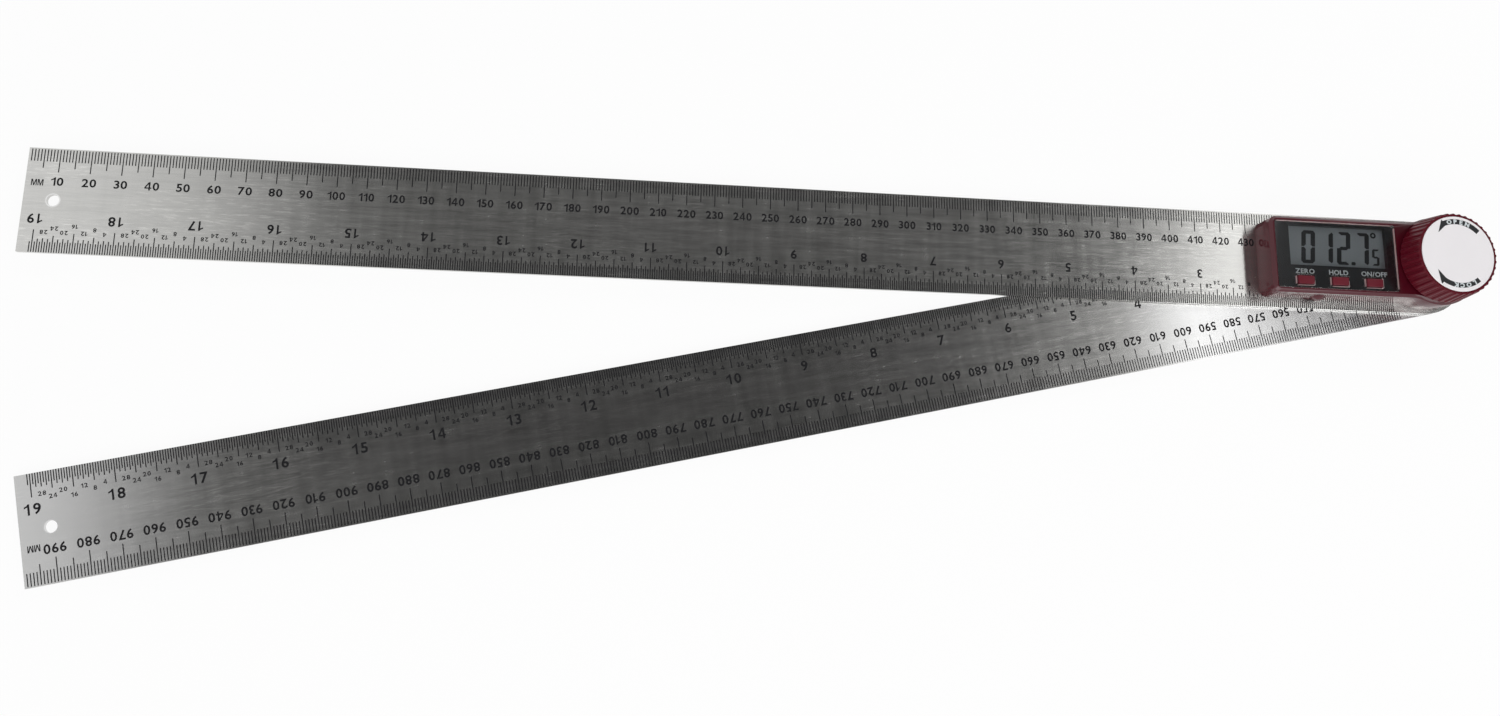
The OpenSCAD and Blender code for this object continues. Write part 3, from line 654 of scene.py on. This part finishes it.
# ---- Battery drawer, coin cell and contacts --------------------------------
# A burgundy drawer with a domed thumb catch slides out of the near side with
# the coin cell on its ledge; two brass leaves press on the cell.
gloss_burgundy = moulded("gloss_burgundy", srgb(70, 8, 22), 0.14, texture=0.08)
DRAWER_EDGE = 0.15
SHARP_FROM = math.radians(32)
FLAT_WITHIN = math.radians(0.6)
CAD_MERGE_WITHIN = 2e-6
BEVEL_SEGMENTS = 3


# The node's own shape with its hard edges rounded off, in the node's place
def softened_copy(name, node, material, width):
    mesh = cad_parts[node].data.copy()

    def join_flat_faces(bm):
        bmesh.ops.dissolve_limit(bm, angle_limit=FLAT_WITHIN, verts=bm.verts, edges=bm.edges)
        for face in bm.faces:
            face.smooth = True
            face.material_index = 0

    clean_mesh(mesh, CAD_MERGE_WITHIN, join_flat_faces)
    mesh.materials.clear()
    mesh.materials.append(material)
    made = place_mesh(name, mesh)
    bevel = made.modifiers.new("edges", "BEVEL")
    bevel.width = width * MM
    bevel.segments = BEVEL_SEGMENTS
    bevel.limit_method = "ANGLE"
    bevel.angle_limit = SHARP_FROM
    bevel.harden_normals = True
    softened = evaluated_mesh(made)
    made.modifiers.clear()
    made.data = softened
    softened.name = name
    softened.set_sharp_from_angle(angle=SHARP_FROM)
    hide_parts(node)
    return made


drawer = softened_copy("drawer_moulding", "battery_drawer", gloss_burgundy, DRAWER_EDGE)
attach(drawer, "drawer")
dress("coin_cell", turned_metal("bright_plate", (0.66, 0.66, 0.67), (0.82, 0.82, 0.83), 0.2))
dress("battery_contacts", turned_metal("spring_brass", (0.55, 0.38, 0.14), (0.8, 0.62, 0.3), 0.28))


# ---- Circuit board, switches and screws ------------------------------------
# The board hangs on four small screws over the cell; three snap switches with
# pale plungers stand under the keys, and four screws from below hold the
# housing to the rule.
dress("circuit_board", board_green)
dress("switch_bodies", moulded("switch_black", srgb(28, 28, 28), 0.45))
plunger_ivory = moulded("plunger_ivory", srgb(222, 214, 196), 0.4)
for key in ("zero", "hold", "power"):
    dress(key + "_plunger", plunger_ivory)
dress("housing_screws", pressed_steel)
dress("board_screws", pressed_steel)


# ---- Display cell ----------------------------------------------------------
# A grey reflective liquid-crystal cell in a black frame, on conductive rubber
# strips. Its seven-segment figures read 012.75 degrees and lean to the right.
dress("contact_strips", moulded("strip_rubber", srgb(190, 120, 130), 0.6))
dress("lcd_frame", moulded("frame_black", srgb(24, 26, 30), 0.45))

CELL_TEXTURE_DEPTH = 0.004 * MM
cell_grey, cell_tree, cell_shader = new_material("cell_grey", 0.35)
cell_shader.inputs["Coat Weight"].default_value = 0.15
cell_shader.inputs["Coat Roughness"].default_value = 0.05
cell_shader.inputs["Specular IOR Level"].default_value = 0.25
touched = put_group(cell_tree, handling, object_place(cell_tree))
vary_color(cell_tree, cell_shader, touched["Smudges"], srgb(120, 127, 131), srgb(132, 139, 143))
vary_roughness(cell_tree, cell_shader, touched["Texture"], 0.3, 0.42)
raise_surface(cell_tree, cell_shader, touched["Texture"], CELL_TEXTURE_DEPTH, 0.2)
dress("lcd_glass", cell_grey)

figure_ink = moulded("figure_ink", srgb(8, 12, 20), 0.6, gloss=0.2)
CELL_TOP = 10.8
FIGURE_LEVELS = (CELL_TOP - 0.02, CELL_TOP + 0.03)
FIGURE_SLANT = 0.08
BIG_TALL, BIG_UPRIGHT, BIG_CORNER = 12.6, 1.75, 0.9
# Each figure's segments, foot, width, height, upright, bar, corner and gap
FIGURES = (("abcdef", (-53.3, -2.65), 5.4, BIG_TALL, BIG_UPRIGHT, 1.3, BIG_CORNER, 0.16),
           ("bc", (-46.2, -2.65), 5.4, BIG_TALL, BIG_UPRIGHT, 1.3, BIG_CORNER, 0.16),
           ("abged", (-39.2, -2.65), 5.3, BIG_TALL, BIG_UPRIGHT, 1.2, BIG_CORNER, 0.0),
           ("abc", (-31.8, -2.65), 5.3, BIG_TALL, BIG_UPRIGHT, 1.2, BIG_CORNER, 0.16),
           ("afgcd", (-25.2, -2.4), 2.9, 6.3, 0.95, 0.7, 0.4, 0.0))
POINT_OUTLINE = [(-33.2, -2.65), (-32.1, -2.65), (-31.8, -2.3), (-31.75, -1.7),
                 (-32.0, -1.4), (-33.1, -1.4), (-33.4, -1.7), (-33.45, -2.3)]
DEGREE_CENTRE, DEGREE_INNER, DEGREE_OUTER, DEGREE_STEPS = (-23.9, 9.2), 0.5, 1.15, 16


# The seven segments: a, g and d from top to bottom, f and e on the left, b and
# c on the right. Three are drawn and the others are mirrored from them.
def segment_outline(segment, wide, tall, upright, bar, corner, gap):
    half, crest = tall / 2, bar * 0.55
    turn_x, turn_y = (corner * side / (upright + bar) for side in (upright, bar))
    shapes = {
        "a": [(turn_x, tall - turn_y), (upright, tall - bar), (wide - upright, tall - bar),
              (wide - turn_x, tall - turn_y), (wide - corner, tall), (corner, tall)],
        "f": [(0, tall - corner), (0, half + gap), (upright * 0.6, half + gap),
              (upright, half + crest + gap), (upright, tall - bar), (turn_x, tall - turn_y)],
        "g": [(upright * 0.45, half), (upright * 0.9, half - crest),
              (wide - upright * 0.9, half - crest), (wide - upright * 0.45, half),
              (wide - upright * 0.9, half + crest), (upright * 0.9, half + crest)],
    }
    for below, above in (("d", "a"), ("e", "f")):
        shapes[below] = [(x, tall - y) for x, y in reversed(shapes[above])]
    for right, left in (("b", "f"), ("c", "e")):
        shapes[right] = [(wide - x, y) for x, y in reversed(shapes[left])]
    return shapes[segment]


def lay_plate(plates, outline, levels):
    points, faces = plates
    first, count = len(points), len(outline)
    for level in levels:
        points.extend((x, y, level) for x, y in outline)
    faces.append(tuple(first + i for i in reversed(range(count))))
    faces.append(tuple(first + count + i for i in range(count)))
    for i in range(count):
        j = (i + 1) % count
        faces.append((first + i, first + j, first + count + j, first + count + i))


figures = ([], [])
for segments, foot, *sizes in FIGURES:
    for segment in segments:
        outline = [(foot[0] + x + FIGURE_SLANT * y, foot[1] + y)
                   for x, y in segment_outline(segment, *sizes)]
        lay_plate(figures, outline, FIGURE_LEVELS)
lay_plate(figures, POINT_OUTLINE, FIGURE_LEVELS)
for i in range(DEGREE_STEPS):
    a, b = (2 * math.pi * k / DEGREE_STEPS for k in (i, i + 1))
    corners = ((DEGREE_INNER, a), (DEGREE_OUTER, a), (DEGREE_OUTER, b), (DEGREE_INNER, b))
    lay_plate(figures, [(DEGREE_CENTRE[0] + r * math.cos(t), DEGREE_CENTRE[1] + r * math.sin(t))
                        for r, t in corners], FIGURE_LEVELS)
plates_piece("display_figures", figures, figure_ink, "upper_arm")


# ---- Keys ------------------------------------------------------------------
# Three small burgundy caps that stand a little proud of the panel, each moulded
# with soft edges and kept in by a lip under the panel's cut-out.
key_burgundy = moulded("key_burgundy", srgb(95, 10, 29), 0.36, gloss=0.4)
KEY_EDGE = 0.25
for key, body in (("zero_key", "zero_button"), ("hold_key", "hold_button"),
                  ("power_key", "power_button")):
    cap = softened_copy(key + "_cap", key, key_burgundy, KEY_EDGE)
    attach(cap, body)


# ---- Housing ---------------------------------------------------------------
# One glossy burgundy moulding: a rectangular box round the display that necks
# into a round hub over the pivot, with soft edges and a seat for the panel.
HOUSING_EDGE = 0.3
housing = softened_copy("housing_moulding", "housing_shell", gloss_burgundy, HOUSING_EDGE)
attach(housing, "upper_arm")


# ---- Window panel ----------------------------------------------------------
# A clear acrylic sheet over a charcoal print that leaves the window open, with
# the key names in white above the three cut-outs.
PANEL_X0, PANEL_X1, PANEL_Y0, PANEL_Y1 = PANEL = (-64.3, -16.9, -12.65, 12.65)
PANEL_CORNER = 0.8
WINDOW, WINDOW_CORNER = (-58.5, -20.1, -3.9, 11.4), 0.2
PANEL_FOOT, PRINT_TOP, LEGEND_TOP, SHEET_FOOT, PANEL_FACE = 12.4, 12.45, 12.47, 12.5, 13.9
SHEET_EDGE = 0.12
KEY_X, KEY_Y = (-53.5, -40.0, -26.5), -9.7
CUT_X, CUT_Y, CUT_CORNER = 3.5, 1.9, 0.4
CORNER_STEPS = 5


def rounded_rectangle(x0, x1, y0, y1, radius):
    points = []
    for cx, cy, begin in ((x1 - radius, y1 - radius, 0), (x0 + radius, y1 - radius, 90),
                          (x0 + radius, y0 + radius, 180), (x1 - radius, y0 + radius, 270)):
        for i in range(CORNER_STEPS + 1):
            t = math.radians(begin + 90 * i / CORNER_STEPS)
            points.append((cx + radius * math.cos(t), cy + radius * math.sin(t)))
    return points


def pierced_plate(name, outer, holes, low, high, edge, material):
    curve = bpy.data.curves.new(name, "CURVE")
    curve.dimensions = "2D"
    curve.fill_mode = "BOTH"
    curve.extrude = (high - low) / 2 * MM - edge * MM
    curve.bevel_depth = edge * MM
    curve.bevel_resolution = 2
    curve.offset = -edge * MM
    for loop in [outer] + [hole[::-1] for hole in holes]:
        add_loop(curve, [(x * MM, y * MM) for x, y in loop])
    made = place_mesh(name, curve)
    mesh = evaluated_mesh(made)
    bpy.data.objects.remove(made)
    clean_mesh(mesh, MERGE_WITHIN, lambda bm: bmesh.ops.recalc_face_normals(bm, faces=bm.faces))
    mesh.transform(shift(0, 0, (low + high) / 2))
    mesh.materials.clear()
    mesh.materials.append(material)
    return place_mesh(name, mesh)


panel_outline = rounded_rectangle(*PANEL, PANEL_CORNER)
key_cuts = [rounded_rectangle(x - CUT_X, x + CUT_X, KEY_Y - CUT_Y, KEY_Y + CUT_Y, CUT_CORNER)
            for x in KEY_X]
window_cut = rounded_rectangle(*WINDOW, WINDOW_CORNER)

ACRYLIC_CLEAR, ACRYLIC_IOR, ACRYLIC_GLOSS = (0.98, 0.98, 0.98, 1.0), 1.49, 0.15
SCRATCH_ROUGHNESS, SCRATCH_DEPTH = 0.02, 0.002 * MM
clear_acrylic, sheet_tree, sheet_shader = new_material("clear_acrylic", SCRATCH_ROUGHNESS)
sheet_shader.inputs["Base Color"].default_value = ACRYLIC_CLEAR
sheet_shader.inputs["Transmission Weight"].default_value = 1.0
sheet_shader.inputs["IOR"].default_value = ACRYLIC_IOR
sheet_shader.inputs["Specular IOR Level"].default_value = ACRYLIC_GLOSS
touched = put_group(sheet_tree, handling, object_place(sheet_tree))
vary_roughness(sheet_tree, sheet_shader, touched["Scratches"], 0.0, SCRATCH_ROUGHNESS)
raise_surface(sheet_tree, sheet_shader, touched["Scratches"], SCRATCH_DEPTH, 0.1)
sheet = pierced_plate("panel_sheet", panel_outline, key_cuts, SHEET_FOOT, PANEL_FACE, SHEET_EDGE,
                      clear_acrylic)
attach(sheet, "upper_arm")
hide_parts("window_panel")

# Painted highlight: thin pale bars along two sides of the sheet and of each key's cut-out stand for
# the light that the sheet's cut edges catch where they are seen from inside it
lit_edge = moulded("lit_edge", srgb(246, 214, 214), 0.4, spread=0.04)
EDGE_IN, EDGE_WIDE = 0.06, 0.08
SIDE_STOP, CUT_START, CUT_STOP = 1.0, 0.5, 0.4
EDGE_LEVELS = (SHEET_FOOT + 0.05, PANEL_FACE - 0.16)
far_y, right_x = PANEL_Y1 - EDGE_IN, PANEL_X1 - EDGE_IN
edge_boxes = [(PANEL_X0 + SIDE_STOP, PANEL_X1 - SIDE_STOP, far_y - EDGE_WIDE, far_y),
              (right_x - EDGE_WIDE, right_x, PANEL_Y0 + SIDE_STOP, PANEL_Y1 - SIDE_STOP)]
for x in KEY_X:
    x0, y0 = x - CUT_X - EDGE_IN, KEY_Y - CUT_Y - EDGE_IN
    edge_boxes.append((x0 - EDGE_WIDE, x0, y0 + CUT_START, y0 + 2 * CUT_Y - CUT_STOP))
    edge_boxes.append((x0 + CUT_START, x0 + 2 * CUT_X - CUT_STOP, y0 - EDGE_WIDE, y0))
edges = ([], [])
for x0, x1, y0, y1 in edge_boxes:
    lay_plate(edges, [(x0, y0), (x1, y0), (x1, y1), (x0, y1)], EDGE_LEVELS)
plates_piece("panel_edge_light", edges, lit_edge, "upper_arm")

charcoal_print = moulded("charcoal_print", srgb(8, 12, 18), 0.6, gloss=0.3)
printed = pierced_plate("panel_print", panel_outline, key_cuts + [window_cut],
                        PANEL_FOOT, PRINT_TOP, 0.0, charcoal_print)
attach(printed, "upper_arm")
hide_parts("window_panel")

legend_white = moulded("legend_white", srgb(205, 212, 214), 0.5, spread=0.05)
KEY_WORDS = (("ZERO", -53.2), ("HOLD", -40.0), ("ON/OFF", -25.9))
LEGEND_Y, LEGEND_HEIGHT = -6.2, 1.8
LEGEND_LEVELS = (PRINT_TOP - 0.01, LEGEND_TOP)
legends = ([], [])
for word, x in KEY_WORDS:
    set_word(legends, word, LEGEND_HEIGHT, (x, LEGEND_Y), 0.0, LEGEND_LEVELS,
             weight=0.018, resolution=4, widen=1.1, space=0.13)
plates_piece("key_legends", legends, legend_white, "upper_arm")


# ---- Thrust washer ---------------------------------------------------------
# A pressed steel washer between the housing's roof and the knob, keyed to the
# spindle so that it rises and falls with the knob but doesn't turn with it.
dress("thrust_washer", pressed_steel)


# ---- Lock knob -------------------------------------------------------------
# A burgundy moulding with forty ribs down its tapering skirt and a shallow
# seat in its top for the label; a brass insert carries its thread.
knob_burgundy = moulded("knob_burgundy", srgb(84, 9, 25), 0.28, gloss=0.18)
KNOB_FOOT, KNOB_TOP = 14.5, 23.3
FOOT_R, TOP_R = 16.0, 15.05
FOOT_BREAK, TOP_ROUND, TOP_ROUND_TURNS = 0.15, 0.25, (85, 65, 45, 25, 5)
LABEL_SEAT, LABEL_SEAT_R, SEAT_BREAK = 23.15, 14.2, 0.05
INSERT_R, BOSS_R, BOSS_FOOT, INSERT_TOP = 5.42, 7.4, 15.65, 21.5
ROOF_UNDER, SKIRT_R, SKIRT_FOOT_R = 20.9, 13.2, 14.1
KNOB_STEPS = 160


# A turned shape from a profile of (radius, height) that starts and ends on the axis
def lathe(name, profile, steps, material):
    bm = bmesh.new()
    rings = []
    for radius, z in profile:
        count = steps if radius > 0 else 1
        turns = [2 * math.pi * i / steps for i in range(count)]
        rings.append([bm.verts.new((radius * MM * math.cos(t), radius * MM * math.sin(t), z * MM))
                      for t in turns])
    for lower, upper in zip(rings, rings[1:]):
        for i in range(steps):
            j = (i + 1) % steps
            corners = [lower[i % len(lower)], lower[j % len(lower)],
                       upper[j % len(upper)], upper[i % len(upper)]]
            bm.faces.new(list(dict.fromkeys(corners)))
    bmesh.ops.recalc_face_normals(bm, faces=bm.faces)
    mesh = bpy.data.meshes.new(name)
    bm.to_mesh(mesh)
    bm.free()
    mesh.materials.append(material)
    for face in mesh.polygons:
        face.use_smooth = True
    mesh.set_sharp_from_angle(angle=SHARP_FROM)
    return place_mesh(name, mesh)


top_edge = [(TOP_R - TOP_ROUND * (1 - math.sin(math.radians(t))),
             KNOB_TOP - TOP_ROUND * (1 - math.cos(math.radians(t)))) for t in TOP_ROUND_TURNS]
knob_profile = [(0.0, INSERT_TOP), (INSERT_R, INSERT_TOP), (INSERT_R, BOSS_FOOT),
                (BOSS_R, BOSS_FOOT), (BOSS_R, ROOF_UNDER), (SKIRT_R, ROOF_UNDER),
                (SKIRT_FOOT_R, KNOB_FOOT), (FOOT_R - FOOT_BREAK, KNOB_FOOT),
                (FOOT_R, KNOB_FOOT + FOOT_BREAK), *top_edge,
                (LABEL_SEAT_R + SEAT_BREAK, KNOB_TOP), (LABEL_SEAT_R, KNOB_TOP - SEAT_BREAK),
                (LABEL_SEAT_R, LABEL_SEAT), (0.0, LABEL_SEAT)]
knob_body = lathe("knob_body", knob_profile, KNOB_STEPS, knob_burgundy)
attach(knob_body, "knob")
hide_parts("lock_knob")

# The ribs: a round bar from foot to top edge that thins at both ends, set
# round the axis by its number
RIB_COUNT, RIB_R, RIB_CUTS, RIB_SIDES = 40, 0.85, 25, 12
RIB_FOOT_R, RIB_TOP_R = FOOT_R - 0.4, TOP_R - 0.45
RIB_FOOT, RIB_TOP = KNOB_FOOT + 0.02, KNOB_TOP - 0.04
RIB_THICKNESS = [(0.0, 0.45), (1.0, 0.7), (0.04, 0.95), (0.5, 1.0), (0.9, 1.0), (0.975, 0.93)]
rib_tree, given, rib_out = new_geometry(
    "knob_ribs",
    [("Ribs", "Int"), ("Foot Radius", "Float"), ("Top Radius", "Float"), ("Foot Height", "Float"),
     ("Top Height", "Float"), ("Rib Radius", "Float"), ("Plastic", "Material")])
rib_foot, rib_head = (
    add_node(rib_tree, "ShaderNodeCombineXYZ",
             {"X": given[end + " Radius"], "Z": given[end + " Height"]}).outputs[0]
    for end in ("Foot", "Top"))
rib_line = add_node(rib_tree, "GeometryNodeCurvePrimitiveLine",
                    {"Start": rib_foot, "End": rib_head})
rib_cut = add_node(rib_tree, "GeometryNodeResampleCurve",
                   {"Curve": rib_line.outputs[0], "Count": RIB_CUTS})
rib_round = add_node(rib_tree, "GeometryNodeCurvePrimitiveCircle",
                     {"Resolution": RIB_SIDES, "Radius": given["Rib Radius"]})
rib_along = add_node(rib_tree, "GeometryNodeSplineParameter")
rib_thick = add_node(rib_tree, "ShaderNodeFloatCurve", {"Value": rib_along.outputs["Factor"]})
thickness = rib_thick.mapping.curves[0].points
thickness[0].location, thickness[1].location = RIB_THICKNESS[:2]
for spot in RIB_THICKNESS[2:]:
    thickness.new(*spot)
rib_thick.mapping.update()
rib = add_node(rib_tree, "GeometryNodeCurveToMesh",
               {"Curve": rib_cut.outputs[0], "Profile Curve": rib_round.outputs[0],
                "Scale": rib_thick.outputs[0], "Fill Caps": True})
axis = add_node(rib_tree, "GeometryNodeMeshLine",
                {"Count": given["Ribs"], "Offset": (0.0, 0.0, 0.0)}, mode="OFFSET")
rib_number = add_node(rib_tree, "GeometryNodeInputIndex").outputs[0]
one_turn = calculate(rib_tree, "DIVIDE", 2 * math.pi, given["Ribs"])
rib_turn = add_node(rib_tree, "ShaderNodeCombineXYZ",
                    {"Z": calculate(rib_tree, "MULTIPLY", rib_number, one_turn)})
ribs = add_node(rib_tree, "GeometryNodeInstanceOnPoints",
                {"Points": axis.outputs[0], "Instance": rib.outputs[0],
                 "Rotation": rib_turn.outputs[0]})
solid_ribs = add_node(rib_tree, "GeometryNodeRealizeInstances", [ribs.outputs[0]])
smooth_ribs = add_node(rib_tree, "GeometryNodeSetShadeSmooth", [solid_ribs.outputs[0]])
moulded_ribs = add_node(rib_tree, "GeometryNodeSetMaterial",
                        {"Geometry": smooth_ribs.outputs[0], "Material": given["Plastic"]})
feed(rib_tree, rib_out, moulded_ribs.outputs[0])

knob_ribs = run_tree("knob_ribs", rib_tree,
                     {"Ribs": RIB_COUNT, "Rib Radius": RIB_R * MM,
                      "Foot Radius": RIB_FOOT_R * MM, "Top Radius": RIB_TOP_R * MM,
                      "Foot Height": RIB_FOOT * MM, "Top Height": RIB_TOP * MM,
                      "Plastic": knob_burgundy})
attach(knob_ribs, "knob")
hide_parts("lock_knob")
dress("knob_insert", turned_metal("turned_brass", (0.55, 0.4, 0.16), (0.78, 0.6, 0.3), 0.28))


# ---- Knob label ------------------------------------------------------------
# A white plastic disc with two black curved arrows that say which way opens
# and which way locks.
LABEL_FACE, LABEL_R, LABEL_STEPS = 23.45, 14.1, 128
LABEL_FOOT_BREAK, LABEL_FACE_BREAK = 0.05, 0.08
label_white = moulded("label_white", srgb(238, 235, 237), 0.35, coat=0.3, spread=0.03)
label_profile = [(0.0, LABEL_SEAT), (LABEL_R - LABEL_FOOT_BREAK, LABEL_SEAT),
                 (LABEL_R, LABEL_SEAT + LABEL_FOOT_BREAK), (LABEL_R, LABEL_FACE - LABEL_FACE_BREAK),
                 (LABEL_R - LABEL_FACE_BREAK, LABEL_FACE), (0.0, LABEL_FACE)]
label = lathe("label_disc", label_profile, LABEL_STEPS, label_white)
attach(label, "knob")
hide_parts("knob_label")

arrow_black = moulded("arrow_black", srgb(22, 24, 28), 0.45)
ARROW_STEPS = 16
BARB_R, POINT_R = 13.85, 10.5
ARROW_LEVELS = (LABEL_FACE - 0.02, LABEL_FACE + 0.02)


def polar(radius, angle):
    return (radius * math.cos(math.radians(angle)), radius * math.sin(math.radians(angle)))


# A curved band from tail to neck, then a barb on its outer side and a point
def arrow_outline(tail, neck, barb, point, inner, outer):
    band = [tail + (neck - tail) * i / ARROW_STEPS for i in range(ARROW_STEPS + 1)]
    return ([polar(outer, t) for t in band] + [polar(BARB_R, barb), polar(POINT_R, point)]
            + [polar(inner, t) for t in reversed(band)])


open_arrow = arrow_outline(tail=44.5, neck=112.0, barb=113.0, point=132.0, inner=11.2, outer=13.1)
lock_arrow = arrow_outline(tail=52.0, neck=122.0, barb=123.5, point=144.5, inner=10.9, outer=12.7)
arrows = ([], [])
for outline in (open_arrow, [(x, -y) for x, y in reversed(lock_arrow)]):
    lay_plate(arrows, outline, ARROW_LEVELS)
plates_piece("label_arrows", arrows, arrow_black, "knob")

LABEL_WORDS = (("OPEN", (101.5, 90.0, 79.0, 67.5), 12.15),
               ("LOCK", (-63.0, -75.5, -88.0, -100.0), 11.8))
LABEL_WORD_HEIGHT, LABEL_WORD_WEIGHT = 1.7, 0.05
LABEL_WORD_LEVELS = (LABEL_FACE - 0.01, LABEL_FACE + 0.035)
label_words = ([], [])
for word, angles, radius in LABEL_WORDS:
    for letter, angle in zip(word, angles):
        set_word(label_words, letter, LABEL_WORD_HEIGHT, polar(radius, angle),
                 math.radians(angle - 90), LABEL_WORD_LEVELS, weight=LABEL_WORD_WEIGHT)
plates_piece("label_words", label_words, legend_white, "knob")
